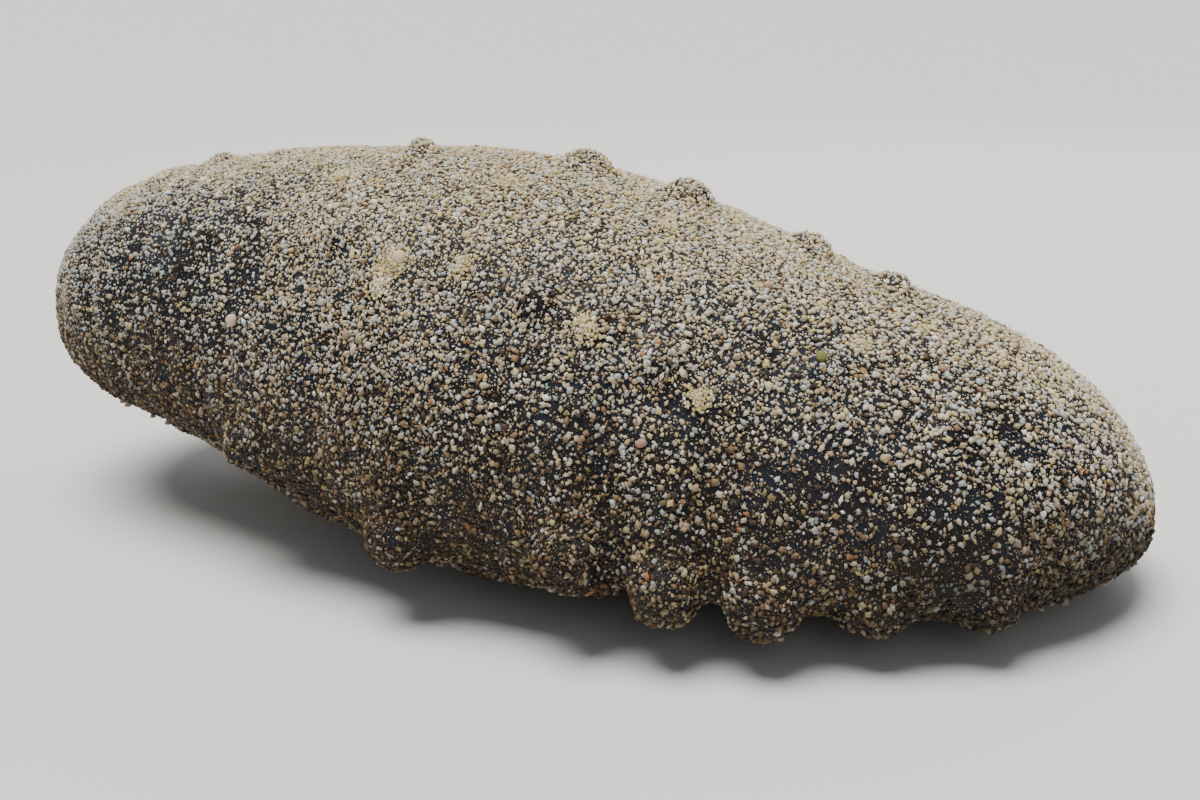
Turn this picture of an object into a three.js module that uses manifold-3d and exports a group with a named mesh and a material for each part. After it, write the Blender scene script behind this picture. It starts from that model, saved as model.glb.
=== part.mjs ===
// A life-size model of a teatfish, a heavy sea cucumber with a row of teats along each lower edge.
// It lies on its sole with the rear end a little raised and turned away, as a resting animal does.
// Millimetres, +Z up. The animal's length runs along X with the head at +X, and its near side faces -Y.
import * as THREE from 'three';
import { mergeVertices } from 'three/addons/utils/BufferGeometryUtils.js';
import Module from 'manifold-3d';

const wasm = await Module();
wasm.setup();

// Driving dimensions of the body.
const REAR_TIP = -182;
const FRONT_TIP = 150;
const REAR_ROUND = 42; // length over which the rear end rounds off
const FRONT_ROUND = 51;
const BACK_FULLNESS = 2.15; // 2 is an ellipse, more is squarer
const SOLE_FULLNESS = 2.7;

// The section at places along the body: its highest point, its underside, the level where it is
// widest, half its width there, and how far its middle line is turned away from the near side.
const SECTIONS = [
  { x: -182, back: 91, belly: 34, level: 60, half: 44, drift: 41 },
  { x: -145, back: 99, belly: 30, level: 58, half: 51, drift: 33 },
  { x: -105, back: 107, belly: 21, level: 53, half: 58, drift: 21 },
  { x: -65, back: 111, belly: 8, level: 46, half: 66, drift: 9 },
  { x: -20, back: 111, belly: 2.5, level: 38, half: 72, drift: 1 },
  { x: 25, back: 101, belly: 2.5, level: 33, half: 73, drift: -3 },
  { x: 70, back: 83, belly: 2.5, level: 29, half: 67, drift: -4 },
  { x: 110, back: 69, belly: 2.5, level: 26, half: 57, drift: -3 },
  { x: 150, back: 56, belly: 4, level: 19, half: 48, drift: 2 },
];

// Teats along each lower edge: place along the body, share of the full teat, and degrees below the
// widest level.
const NEAR_TEATS = [
  { x: -86, size: 0.46, angle: 16 },
  { x: -37, size: 0.78, angle: 24 },
  { x: 9, size: 0.66, angle: 11 },
  { x: 31, size: 0.92, angle: 19 },
  { x: 53, size: 1.0, angle: 22 },
  { x: 79, size: 0.58, angle: 26 },
  { x: 106, size: 0.52, angle: 24 },
];
const FAR_TEATS = [
  { x: -92, size: 0.6, angle: 20 },
  { x: -60, size: 0.8, angle: 22 },
  { x: -29, size: 0.9, angle: 24 },
  { x: 2, size: 1.0, angle: 26 },
  { x: 33, size: 1.0, angle: 26 },
  { x: 63, size: 0.85, angle: 26 },
  { x: 96, size: 0.65, angle: 24 },
];
const TEAT_RADIUS = 10.6;
const TEAT_REACH = 7; // how far a full teat stands out of the body
const TEAT_ROOT = 12; // how far its blank starts inside, before the body is cut out of it
const LOBE_RISE = 3.6; // the flank swells above each teat, and folds in between
const LOBE_LENGTH = 9.5;
const LOBE_ANGLE = 30;
// The near side's front teats run together, so the flank swells between them: place and share.
const NEAR_RIDGE = [
  { x: 67, size: 0.75 },
  { x: 93, size: 0.85 },
];

// Low knobs on the back, in two loose rows: place along the body, angle from the far side, height.
const KNOBS = [
  { x: -124, angle: 84, height: 2.6 },
  { x: -51, angle: 97, height: 4.6 },
  { x: -3, angle: 90, height: 5.0 },
  { x: 24, angle: 88, height: 5.0 },
  { x: 57, angle: 86, height: 4.4 },
  { x: 79, angle: 88, height: 3.8 },
  { x: 116, angle: 100, height: 2.4 },
  { x: -104, angle: 138, height: 3.2 },
  { x: -60, angle: 134, height: 3.8 },
  { x: -4, angle: 140, height: 3.6 },
  { x: 26, angle: 146, height: 3.4 },
  { x: 64, angle: 136, height: 3.4 },
  { x: 96, angle: 142, height: 3.0 },
  { x: -80, angle: 48, height: 3.4 },
  { x: -30, angle: 42, height: 3.8 },
  { x: 16, angle: 46, height: 3.6 },
  { x: 56, angle: 43, height: 3.4 },
  { x: 92, angle: 48, height: 3.0 },
];
const KNOB_ROOT = 4;

// Folds round the rear end, where the body is drawn in.
const REAR_FOLD_DEPTH = 0.9;
const REAR_FOLD_LENGTH = 13;
const REAR_FOLD_END = -92;

// Cuts that part the body into its lengths, and the sole from the back.
const GAP = 0.32;
const LENGTHS = [
  { name: 'rear_end', from: -200, to: -118 },
  { name: 'trunk_rear', from: -118, to: -52 },
  { name: 'trunk_middle', from: -52, to: 20 },
  { name: 'trunk_front', from: 20, to: 88 },
  { name: 'head_end', from: 88, to: 200 },
];
const SOLES = [
  { name: 'sole_rear', from: -200, to: -40 },
  { name: 'sole_middle', from: -40, to: 38 },
  { name: 'sole_front', from: 38, to: 200 },
];
const SOLE_DEPTH = 9;

// Tube feet, in three bands under the sole.
const FOOT_RADIUS = 1.9;
const FOOT_STEP = 14;
const FOOT_BANDS = [-0.35, 0, 0.35]; // share of the half width
const FOOT_PAIR = 0.1;
const FOOT_HANG = 2.5; // how far a foot hangs where the sole is off the floor
const FEET_FROM = -92;
const FEET_TO = 96;
const FLOOR = 0;

// The mouth, under the head end, with its ring of tentacles.
const MOUTH_X = 116;
const MOUTH_RADIUS = 15;
const MOUTH_DEPTH = 11;
const TENTACLES = 20;
const TENTACLE_LENGTH = 6;
const TENTACLE_RADIUS = 1.15;
const TENTACLE_HEAD = 1.9;

// The anus, at the rear tip, with five small papillae round it.
const ANUS_RADIUS = 7.5;
const ANUS_DEPTH = 9;
const ANUS_PAPILLAE = 5;

const SIDES = 36;
const RING_STEP = 6;
const ROUND_RINGS = 8;
const radians = THREE.MathUtils.degToRad;

const COLOURS = {
  skin: { color: 0x2b2a2b, roughness: 0.85, metalness: 0 },
  teat: { color: 0x3a3733, roughness: 0.85, metalness: 0 },
  sole: { color: 0x5a5148, roughness: 0.8, metalness: 0 },
  tentacle: { color: 0x1d1b1a, roughness: 0.6, metalness: 0 },
  papilla: { color: 0xb7a98c, roughness: 0.7, metalness: 0 },
};
const materials = {};
for (const [name, look] of Object.entries(COLOURS)) materials[name] = new THREE.MeshStandardMaterial(look);

// Repeatable random numbers from 0 to 1.
function drawsFrom(seed) {
  let state = seed;
  return () => {
    state = (state * 1664525 + 1013904223) % 4294967296;
    return state / 4294967296;
  };
}

// One measure of the sections at x, on a smooth curve through the stations.
function measure(key, x) {
  const last = SECTIONS.length - 1;
  const held = THREE.MathUtils.clamp(x, SECTIONS[0].x, SECTIONS[last].x);
  let i = 0;
  while (i < last - 1 && held > SECTIONS[i + 1].x) i += 1;
  const slope = (k) => {
    const a = SECTIONS[Math.max(k - 1, 0)];
    const b = SECTIONS[Math.min(k + 1, last)];
    return (b[key] - a[key]) / (b.x - a.x);
  };
  const [a, b] = [SECTIONS[i], SECTIONS[i + 1]];
  const span = b.x - a.x;
  const t = (held - a.x) / span;
  return (2 * t ** 3 - 3 * t ** 2 + 1) * a[key] + (t ** 3 - 2 * t ** 2 + t) * span * slope(i)
    + (3 * t ** 2 - 2 * t ** 3) * b[key] + (t ** 3 - t ** 2) * span * slope(i + 1);
}

// The share of its full section that the body has at x, which falls to nothing at the tips.
function roundOff(x, swell) {
  const fromRear = THREE.MathUtils.clamp((x - REAR_TIP + swell) / (REAR_ROUND + swell), 0, 1);
  const fromFront = THREE.MathUtils.clamp((FRONT_TIP + swell - x) / (FRONT_ROUND + swell), 0, 1);
  const arc = (t) => Math.sqrt(Math.max(0, 1 - (1 - t) ** 2.2));
  return arc(fromRear) * arc(fromFront);
}

// How far the surface rises over the plain section: lobes above the teats, and folds at the rear.
function relief(x, angle) {
  const near = angle > 90 && angle < 270;
  const fromEdge = near ? angle - (180 + 12) : (angle > 270 ? angle - 360 : angle) + 12;
  const reach = Math.exp(-((fromEdge / LOBE_ANGLE) ** 2));
  let rise = 0;
  for (const lobe of near ? [...NEAR_TEATS, ...NEAR_RIDGE] : FAR_TEATS) {
    rise += LOBE_RISE * lobe.size * Math.exp(-(((x - lobe.x) / LOBE_LENGTH) ** 2));
  }
  const foldShare = THREE.MathUtils.clamp((REAR_FOLD_END - x) / 30, 0, 1);
  const fold = REAR_FOLD_DEPTH * foldShare * Math.sin((2 * Math.PI * x) / REAR_FOLD_LENGTH);
  return rise * reach + fold;
}

// A point on the body. Angle 0 is the far side, 90 the back, 180 the near side and 270 the sole.
function bodyPoint(x, angle, swell = 0) {
  const share = roundOff(x, swell);
  const [c, s] = [Math.cos(radians(angle)), Math.sin(radians(angle))];
  const power = 2 / (s >= 0 ? BACK_FULLNESS : SOLE_FULLNESS);
  const across = Math.sign(c) * Math.abs(c) ** power;
  const upward = Math.sign(s) * Math.abs(s) ** power;
  const rise = relief(x, angle) + swell;
  const level = measure('level', x);
  const height = s >= 0 ? measure('back', x) - level : level - measure('belly', x);
  return new THREE.Vector3(
    x,
    measure('drift', x) + share * (measure('half', x) + rise) * across,
    level + share * (height + (s >= 0 ? rise : swell)) * upward,
  );
}

// Where the rings of the body lie: close together at the tips, then even.
function ringPlaces(swell) {
  const places = [];
  for (let i = 1; i <= ROUND_RINGS; i += 1) {
    const turn = (Math.PI / 2) * (i / ROUND_RINGS);
    places.push(REAR_TIP - swell + (REAR_ROUND + swell) * (1 - Math.cos(turn)));
    places.push(FRONT_TIP + swell - (FRONT_ROUND + swell) * (1 - Math.cos(turn)));
  }
  const middle = FRONT_TIP - FRONT_ROUND - (REAR_TIP + REAR_ROUND);
  const steps = Math.round(middle / RING_STEP);
  for (let i = 1; i < steps; i += 1) places.push(REAR_TIP + REAR_ROUND + (middle * i) / steps);
  return places.sort((a, b) => a - b);
}

// A closed surface from rings of points, with a pole at each end.
function loft(rings, startPole, endPole) {
  const sides = rings[0].length;
  const positions = [startPole, ...rings.flat(), endPole].flatMap((p) => [p.x, p.y, p.z]);
  const at = (ring, side) => 1 + ring * sides + (side % sides);
  const end = 1 + rings.length * sides;
  const faces = [];
  for (let side = 0; side < sides; side += 1) {
    faces.push(0, at(0, side + 1), at(0, side));
    for (let ring = 0; ring < rings.length - 1; ring += 1) {
      const [a, b] = [at(ring, side), at(ring, side + 1)];
      const [c, d] = [at(ring + 1, side + 1), at(ring + 1, side)];
      faces.push(a, b, c, a, c, d);
    }
    faces.push(end, at(rings.length - 1, side), at(rings.length - 1, side + 1));
  }
  const geometry = new THREE.BufferGeometry();
  geometry.setAttribute('position', new THREE.Float32BufferAttribute(positions, 3));
  geometry.setIndex(faces);
  return geometry;
}

// A manifold solid from a closed geometry, turned right side out where the build order needs it.
function solidOf(geometry) {
  const plain = geometry.clone();
  plain.deleteAttribute('normal');
  plain.deleteAttribute('uv');
  const merged = mergeVertices(plain, 1e-4);
  const vertProperties = new Float32Array(merged.attributes.position.array);
  const triVerts = new Uint32Array(merged.index.array);
  const made = new wasm.Manifold(new wasm.Mesh({ numProp: 3, vertProperties, triVerts }));
  if (made.volume() > 0) return made;
  for (let i = 0; i < triVerts.length; i += 3) [triVerts[i], triVerts[i + 1]] = [triVerts[i + 1], triVerts[i]];
  return new wasm.Manifold(new wasm.Mesh({ numProp: 3, vertProperties, triVerts }));
}

// Keeps the largest closed surface of a solid.
function largest(solid) {
  return solid.decompose().sort((a, b) => b.volume() - a.volume())[0];
}

function meshOf(name, solid, material) {
  const kept = largest(solid).getMesh();
  const geometry = new THREE.BufferGeometry();
  geometry.setAttribute('position', new THREE.BufferAttribute(new Float32Array(kept.vertProperties), 3));
  geometry.setIndex(new THREE.BufferAttribute(new Uint32Array(kept.triVerts), 1));
  geometry.computeVertexNormals();
  const mesh = new THREE.Mesh(geometry, material);
  mesh.name = name;
  return mesh;
}

function bodySolid(swell) {
  const rings = ringPlaces(swell).map((x) => {
    const ring = [];
    for (let side = 0; side < SIDES; side += 1) ring.push(bodyPoint(x, (360 * side) / SIDES, swell));
    return ring;
  });
  const pole = (x) => new THREE.Vector3(x, measure('drift', x), measure('level', x));
  return solidOf(loft(rings, pole(REAR_TIP - swell), pole(FRONT_TIP + swell)));
}

// A box that holds everything between two places along the body.
function slab(from, to, grown = 0) {
  const geometry = new THREE.BoxGeometry(to - from - GAP + 2 * grown, 400, 400);
  return solidOf(geometry.translate((from + to) / 2, 0, 0));
}

// Everything that lies under the cut between back and sole.
function underSole(raised) {
  const shape = new THREE.Shape();
  shape.moveTo(-220, -60);
  for (let x = -220; x <= 200; x += 10) shape.lineTo(x, measure('belly', x) + SOLE_DEPTH + raised);
  shape.lineTo(200, -60);
  const geometry = new THREE.ExtrudeGeometry(shape, { depth: 400, bevelEnabled: false });
  return solidOf(geometry.rotateX(Math.PI / 2).translate(0, 200, 0));
}

function aboveFloor() {
  return solidOf(new THREE.BoxGeometry(600, 600, 400).translate(0, 0, FLOOR + 200));
}

// The way out of the body at a point of its surface, square to it.
function outwardAt(x, angle) {
  const step = 0.5;
  const along = bodyPoint(x + step, angle).sub(bodyPoint(x - step, angle));
  const round = bodyPoint(x, angle + step).sub(bodyPoint(x, angle - step));
  return along.cross(round).normalize().negate();
}

// A lathed blank, with its axis turned to a direction and its foot at a point.
function lathed(profile, sides, foot, direction) {
  const geometry = new THREE.LatheGeometry(profile.map(([r, h]) => new THREE.Vector2(r, h)), sides);
  const turn = new THREE.Quaternion().setFromUnitVectors(new THREE.Vector3(0, 1, 0), direction);
  geometry.applyQuaternion(turn);
  return solidOf(geometry.translate(foot.x, foot.y, foot.z));
}

// A rounded cone: its radius at the root, the length inside the body, and the length outside.
function domeProfile(radius, root, reach, steps = 5) {
  const profile = [[0, -root], [radius, -root], [radius, 0]];
  for (let i = 1; i < steps; i += 1) {
    const turn = (Math.PI / 2) * (i / steps);
    profile.push([radius * Math.cos(turn) ** 0.85, reach * Math.sin(turn)]);
  }
  profile.push([0, reach]);
  return profile;
}

function teatSolid(teat, near) {
  const angle = near ? 180 + teat.angle : 360 - teat.angle;
  const foot = bodyPoint(teat.x, angle);
  const direction = outwardAt(teat.x, angle);
  direction.x *= 0.3;
  direction.normalize();
  const profile = domeProfile(TEAT_RADIUS * Math.sqrt(teat.size), TEAT_ROOT, TEAT_REACH * teat.size, 4);
  return lathed(profile, 12, foot, direction);
}

function knobSolid(knob) {
  const profile = domeProfile(knob.height * 1.25 + 1.5, KNOB_ROOT, knob.height, 3);
  return lathed(profile, 8, bodyPoint(knob.x, knob.angle), outwardAt(knob.x, knob.angle));
}

// One tube foot: a short tapered stub that ends in a flat sucker on the floor.
function footSolid(x, share) {
  const belly = measure('belly', x);
  const y = measure('drift', x) + share * measure('half', x);
  const end = Math.max(FLOOR, belly - FOOT_HANG);
  const root = belly + 5;
  const profile = [
    [0, end],
    [FOOT_RADIUS, end],
    [FOOT_RADIUS * 0.78, root],
    [0, root],
  ];
  return lathed(profile, 6, new THREE.Vector3(x, y, 0), new THREE.Vector3(0, 0, 1));
}

function feetBetween(from, to) {
  const draw = drawsFrom(7 + Math.round(from));
  const feet = [];
  for (let x = Math.max(from, FEET_FROM) + 6; x < Math.min(to, FEET_TO) - 4; x += FOOT_STEP) {
    for (const band of FOOT_BANDS) {
      for (const side of [-1, 1]) {
        const jitter = (draw() - 0.5) * 3.4;
        feet.push(footSolid(x + jitter + side * 1.3, band + side * FOOT_PAIR));
      }
    }
  }
  return feet;
}

// The hollow that the mouth sits in, opening downwards.
function mouthHollow() {
  const profile = [
    [0, -20],
    [MOUTH_RADIUS, -20],
    [MOUTH_RADIUS, MOUTH_DEPTH - 2],
    [MOUTH_RADIUS - 3, MOUTH_DEPTH],
    [0, MOUTH_DEPTH],
  ];
  const foot = new THREE.Vector3(MOUTH_X, measure('drift', MOUTH_X), 0);
  return lathed(profile, 20, foot, new THREE.Vector3(0, 0, 1));
}

// The mouth disc, with its ring of short tentacles drawn in.
function mouthSolid() {
  const centre = new THREE.Vector3(MOUTH_X, measure('drift', MOUTH_X), 0);
  const top = MOUTH_DEPTH - GAP;
  const radius = MOUTH_RADIUS - GAP;
  const disc = [
    [0, top - 2.2],
    [2.4, top - 3.4],
    [radius - 2.2, top - 3.2],
    [radius, top - 2.4],
    [radius - 3, top],
    [0, top],
  ];
  const parts = [lathed(disc, 20, centre, new THREE.Vector3(0, 0, 1))];
  const draw = drawsFrom(41);
  for (let i = 0; i < TENTACLES; i += 1) {
    const turn = (2 * Math.PI * i) / TENTACLES;
    const out = new THREE.Vector3(Math.cos(turn), Math.sin(turn), 0);
    const ring = i % 2 ? radius - 3.4 : radius - 6.6;
    const foot = centre.clone().addScaledVector(out, ring).setZ(top - 2.6);
    const length = TENTACLE_LENGTH * (0.82 + 0.12 * draw());
    const profile = [
      [0, -1.2],
      [TENTACLE_RADIUS, -1.2],
      [TENTACLE_HEAD, length],
      [0, length],
    ];
    parts.push(lathed(profile, 5, foot, out.multiplyScalar(i % 2 ? 0.05 : -0.12).setZ(-1).normalize()));
  }
  return wasm.Manifold.union(parts);
}

// The rear opening, its hollow, and the ring of papillae that closes it.
function anusFrame() {
  const foot = new THREE.Vector3(REAR_TIP, measure('drift', REAR_TIP), measure('level', REAR_TIP));
  return { foot, out: new THREE.Vector3(-1, 0, 0) };
}

function anusHollow() {
  const { foot, out } = anusFrame();
  const profile = [[0, -ANUS_DEPTH], [ANUS_RADIUS, -ANUS_DEPTH], [ANUS_RADIUS, 12], [0, 12]];
  return lathed(profile, 15, foot, out);
}

function anusSolid() {
  const { foot, out } = anusFrame();
  const radius = ANUS_RADIUS - GAP;
  const floor = -ANUS_DEPTH + GAP;
  const ring = [
    [0, floor],
    [radius, floor],
    [radius, -2.2],
    [radius - 1.6, -1.2],
    [3.1, -2.4],
    [2.2, -4.6],
    [0, -5.4],
  ];
  const parts = [lathed(ring, 15, foot, out)];
  const papilla = domeProfile(1.75, 2.5, 2.6, 3);
  for (let i = 0; i < ANUS_PAPILLAE; i += 1) {
    const turn = (2 * Math.PI * i) / ANUS_PAPILLAE;
    const round = new THREE.Vector3(0, Math.cos(turn), Math.sin(turn));
    const place = foot.clone().addScaledVector(round, 4.3).addScaledVector(out, -1.8);
    parts.push(lathed(papilla, 6, place, out.clone().addScaledVector(round, -0.35).normalize()));
  }
  return wasm.Manifold.union(parts);
}

const animal = new THREE.Group();
const body = bodySolid(0);
const clearance = bodySolid(GAP);
const hollows = mouthHollow().add(anusHollow());
const soleSide = underSole(0);
const backCut = underSole(GAP);
const floorUp = aboveFloor();

for (const { name, from, to } of LENGTHS) {
  const knobs = KNOBS.filter((knob) => knob.x > from && knob.x < to).map(knobSolid);
  const piece = body.subtract(backCut).subtract(hollows);
  animal.add(meshOf(name, wasm.Manifold.union([piece, ...knobs]).intersect(slab(from, to)), materials.skin));
}

for (const { name, from, to } of SOLES) {
  const plain = body.intersect(soleSide).intersect(slab(from, to)).subtract(hollows);
  const feet = feetBetween(from, to);
  animal.add(meshOf(name, wasm.Manifold.union([plain, ...feet]).intersect(floorUp), materials.sole));
}

for (const [side, teats] of [['near', NEAR_TEATS], ['far', FAR_TEATS]]) {
  teats.forEach((teat, i) => {
    const solid = teatSolid(teat, side === 'near').subtract(clearance).intersect(floorUp);
    animal.add(meshOf(`teat_${side}_${i + 1}`, solid, materials.teat));
  });
}

animal.add(meshOf('mouth_crown', mouthSolid(), materials.tentacle));
animal.add(meshOf('anal_ring', anusSolid(), materials.papilla));

// The middle of the whole box stands over the origin, with the lowest feet at the floor.
const box = new THREE.Box3().setFromObject(animal);
const middle = box.getCenter(new THREE.Vector3());
animal.position.set(-middle.x, -middle.y, -box.min.z);

export default animal;
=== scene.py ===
"""A life-size teatfish, a heavy sea cucumber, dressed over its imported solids.

One dark skin is made from the solids of the body, and grains of coral sand lie all over it as mesh.
Tube feet, the mouth's tentacles and the ring of the anus are separate pieces. Everything is in
metres, with the animal's length along X, its head at +X and the side that the camera sees at -Y.
"""
import math

import bmesh
import bpy
import numpy as np
from mathutils import Matrix, Vector


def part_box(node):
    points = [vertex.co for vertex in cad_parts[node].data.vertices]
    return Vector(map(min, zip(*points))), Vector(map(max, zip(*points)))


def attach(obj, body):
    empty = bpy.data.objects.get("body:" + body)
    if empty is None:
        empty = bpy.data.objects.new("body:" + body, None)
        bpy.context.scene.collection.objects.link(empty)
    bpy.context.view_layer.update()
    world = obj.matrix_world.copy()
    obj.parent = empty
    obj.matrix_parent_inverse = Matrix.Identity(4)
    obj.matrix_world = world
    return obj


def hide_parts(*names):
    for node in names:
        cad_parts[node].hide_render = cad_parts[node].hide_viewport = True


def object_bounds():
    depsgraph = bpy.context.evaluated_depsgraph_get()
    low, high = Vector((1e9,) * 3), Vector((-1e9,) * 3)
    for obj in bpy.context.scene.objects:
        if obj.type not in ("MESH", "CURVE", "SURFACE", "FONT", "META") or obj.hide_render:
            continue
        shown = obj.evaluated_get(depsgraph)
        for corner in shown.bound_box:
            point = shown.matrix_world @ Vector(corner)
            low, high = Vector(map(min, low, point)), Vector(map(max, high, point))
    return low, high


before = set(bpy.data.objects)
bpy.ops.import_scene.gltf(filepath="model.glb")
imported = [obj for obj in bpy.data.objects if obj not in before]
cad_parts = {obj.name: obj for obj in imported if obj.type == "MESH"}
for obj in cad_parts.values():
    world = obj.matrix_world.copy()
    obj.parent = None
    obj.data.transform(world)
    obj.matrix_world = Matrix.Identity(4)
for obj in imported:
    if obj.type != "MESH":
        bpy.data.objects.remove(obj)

bl_info = {
    "name": "Teatfish Model",
    "version": (1, 0, 0),
    "blender": (4, 5, 0),
    "location": "View3D > Sidebar > Teatfish",
    "description": "Dresses the solids of a teatfish with skin, sand, tube feet and tentacles",
    "category": "Object",
}

CAD_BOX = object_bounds()
MM = 0.001
MOST_FACES = 190000
BODY = "root"

FLESH = sorted(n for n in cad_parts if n.startswith(("rear_", "trunk_", "head_", "sole_", "teat_")))
SOLES = [n for n in FLESH if n.startswith("sole_")]
TEATS = [n for n in FLESH if n.startswith("teat_")]
TEAT_SWELL = 1.5 * MM
FAINT_TEAT = "teat_near_1"  # hardly seen in the photo, so it is pressed back into the flank
FAINT_PRESS = 1.6 * TEAT_SWELL
SMOOTHING = 20  # rounds that soften the remeshed skin

# Places on the skin are given as millimetres along X and degrees round the body: 0 is the side that
# the camera sees, 90 the back, 180 the far side and -90 the sole.

# Bare patches in the sand, where the skin shows: place, half length, half width in degrees, share.
BARE_PATCHES = (
    (-92, 24, 32, 36, 0.36),
    (-72, 30, 4, 32, 0.24),
    (-84, 24, 3, 30, 0.20),
    (-97, 22, 5, 28, 0.26),
    (-114, 20, 6, 26, 0.26),
    (-130, 12, 7, 24, 0.20),
    (-1, 28, 6, 5, 0.40),
    (15, 25, 5, 4, 0.34),
    (54, 10, 6, 4, 0.36),
    (117, -4, 14, 12, 0.22),
    (124, 24, 6, 8, 0.26),
    (88, 2, 16, 9, 0.25),
    (30, 4, 18, 9, 0.18),
    (-40, 150, 20, 22, 0.35),
    (60, 160, 16, 16, 0.4),
    (110, 140, 12, 16, 0.35),
    (-100, 160, 14, 22, 0.35),
)

# The share of the skin that sand covers, by how far up a place faces: -1 is down and 1 is up.
COVER_UP = (-1, -0.86, -0.6, -0.3, 0.1, 0.5, 0.8, 1)
COVER = (0.0, 0.05, 0.58, 0.69, 0.68, 0.80, 1.0, 1.04)
LEAST_COVER = 0.26  # what a bare patch keeps, above the sole
TIP_COVER = 0.62
FINER_AND_COARSER = (0.78, 1.17)  # sizes of the grains at the rear end and at the head, as shares
CHANCE = 0.3  # how far chance disturbs the even thinning of the grains
EVEN_STEPS = (0.8191725134, 0.6710436067, 0.5497004779)  # steps from cell to cell that never repeat
# Grains gather in clumps of about this length in millimetres, with dark gaps between them.
CLUMP = 2.1
CLUMPING = 0.30
# The shares of the places in each layer that get a grain where the sand lies thickest.
COARSE_SHARE = 0.55
FINE_SHARE = 0.95
LEAST_GRAINS = 10000  # with fewer, something has gone wrong with the skin
GRAIN_PATCH = 0.0026  # how wide a grain's patch is on the unwrap

# Clots of yellowish sand and fine rubble: place and radius in millimetres.
CLOTS = (
    (-26, 30, 5.5),
    (-28, 24, 4.0),
    (-8, 31, 3.5),
    (27, 22, 4.5),
    (53, 12.5, 4.2),
    (-2, 62, 4.0),
    (40, 60, 3.5),
    (-50, 58, 5.0),
    (88, 38, 3.5),
    (-60, 120, 5.0),
    (20, 140, 4.5),
    (80, 125, 4.0),
)
CLOT_MIX = (0.55, 0.27, 0.08, 0.10)  # shares of yellow, cream, white and beige grains in a clot

# Pebbles and shell bits: place, length in millimetres, and which colour.
PEBBLES = (
    (-72, 9, 4.2, "shell"),
    (-121, 45, 3.0, "shell"),
    (-24, 32, 4.2, "shell"),
    (80, 29, 3.4, "weed"),
    (41, 1, 3.0, "rust"),
    (108, 38, 2.8, "rust"),
    (-36, 12, 2.6, "rust"),
    (10, 48, 2.8, "shell"),
    (98, 20, 2.8, "shell"),
    (66, 50, 2.6, "rust"),
    (-90, 60, 2.6, "shell"),
    (-50, 150, 3.8, "shell"),
    (30, 165, 3.2, "rust"),
    (90, 150, 3.0, "shell"),
)
# Flat splinters of shell: place, length and turn in degrees.
SPLINTERS = (
    (101, 9, 3.6, 20),
    (-80, 66, 4.5, -30),
    (20, 70, 4.0, 60),
    (-10, 130, 5.0, 10),
    (70, 110, 4.0, 100),
)

# Creases that run up from the lower edge between the lobes: millimetres along X, degrees up, depth.
CREASES = ((-45, 20, 1.3), (-14, 12, 1.0), (36, 28, 2.9), (58, 24, 2.6), (83, 14, 0.6))
CREASE_WIDTH = 4.4
# Folds round the raised rear end, where the body draws itself in.
FOLDS = ((-146, 0.8), (-128, 0.9), (-112, 1.0), (-99, 1.1), (-88, 0.9), (-74, 0.7))
FOLD_WIDTH = 2.8

FOOT_PATCH = 0.002  # how wide a foot's patch is on the unwrap
FOOT_BANDS = (-0.42, 0.0, 0.42)  # where the bands of feet run, as shares of the half width
BAND_SHARE = 0.17  # half of a band's width, as such a share
TENTACLES = 20
TEETH = 5
PLEATS = 12  # in the ring of the anus
FLOOR_WIDTH = 60


def colour_setting(name, description, default):
    return bpy.props.FloatVectorProperty(
        name=name, description=description, default=default, size=3, min=0, max=1, subtype="COLOR"
    )


def length_setting(name, description, default):
    return bpy.props.FloatProperty(
        name=name, description=description, default=default,
        min=0, unit="LENGTH", subtype="DISTANCE", precision=5,
    )


def share_setting(name, description, default):
    return bpy.props.FloatProperty(
        name=name, description=description, default=default, min=0, max=1, subtype="FACTOR"
    )


class TeatfishSkin(bpy.types.PropertyGroup):
    """Sizes and colours of the skin."""

    voxel: length_setting("Mesh size", "Length of the skin's faces", 1.36 * MM)
    overlap: length_setting("Overlap", "How far the solids grow to close the cuts between them", 0.35 * MM)
    depth: length_setting("Coat depth", "How far the skin lies inside the solids", 0.6 * MM)
    lumps: length_setting("Lumps", "Height of the broad unevenness", 1.5 * MM)
    wrinkles: length_setting("Wrinkles", "Height of the small wrinkles", 0.55 * MM)
    blue: colour_setting("Blue-black", "Bare skin on the flanks and back", (0.009, 0.013, 0.021))
    black: colour_setting("Black", "Bare skin in the hollows", (0.007, 0.006, 0.006))
    brown: colour_setting("Brown", "Skin low on the flanks", (0.024, 0.015, 0.009))
    sole: colour_setting("Sole", "Skin under the animal", (0.210, 0.165, 0.120))


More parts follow.
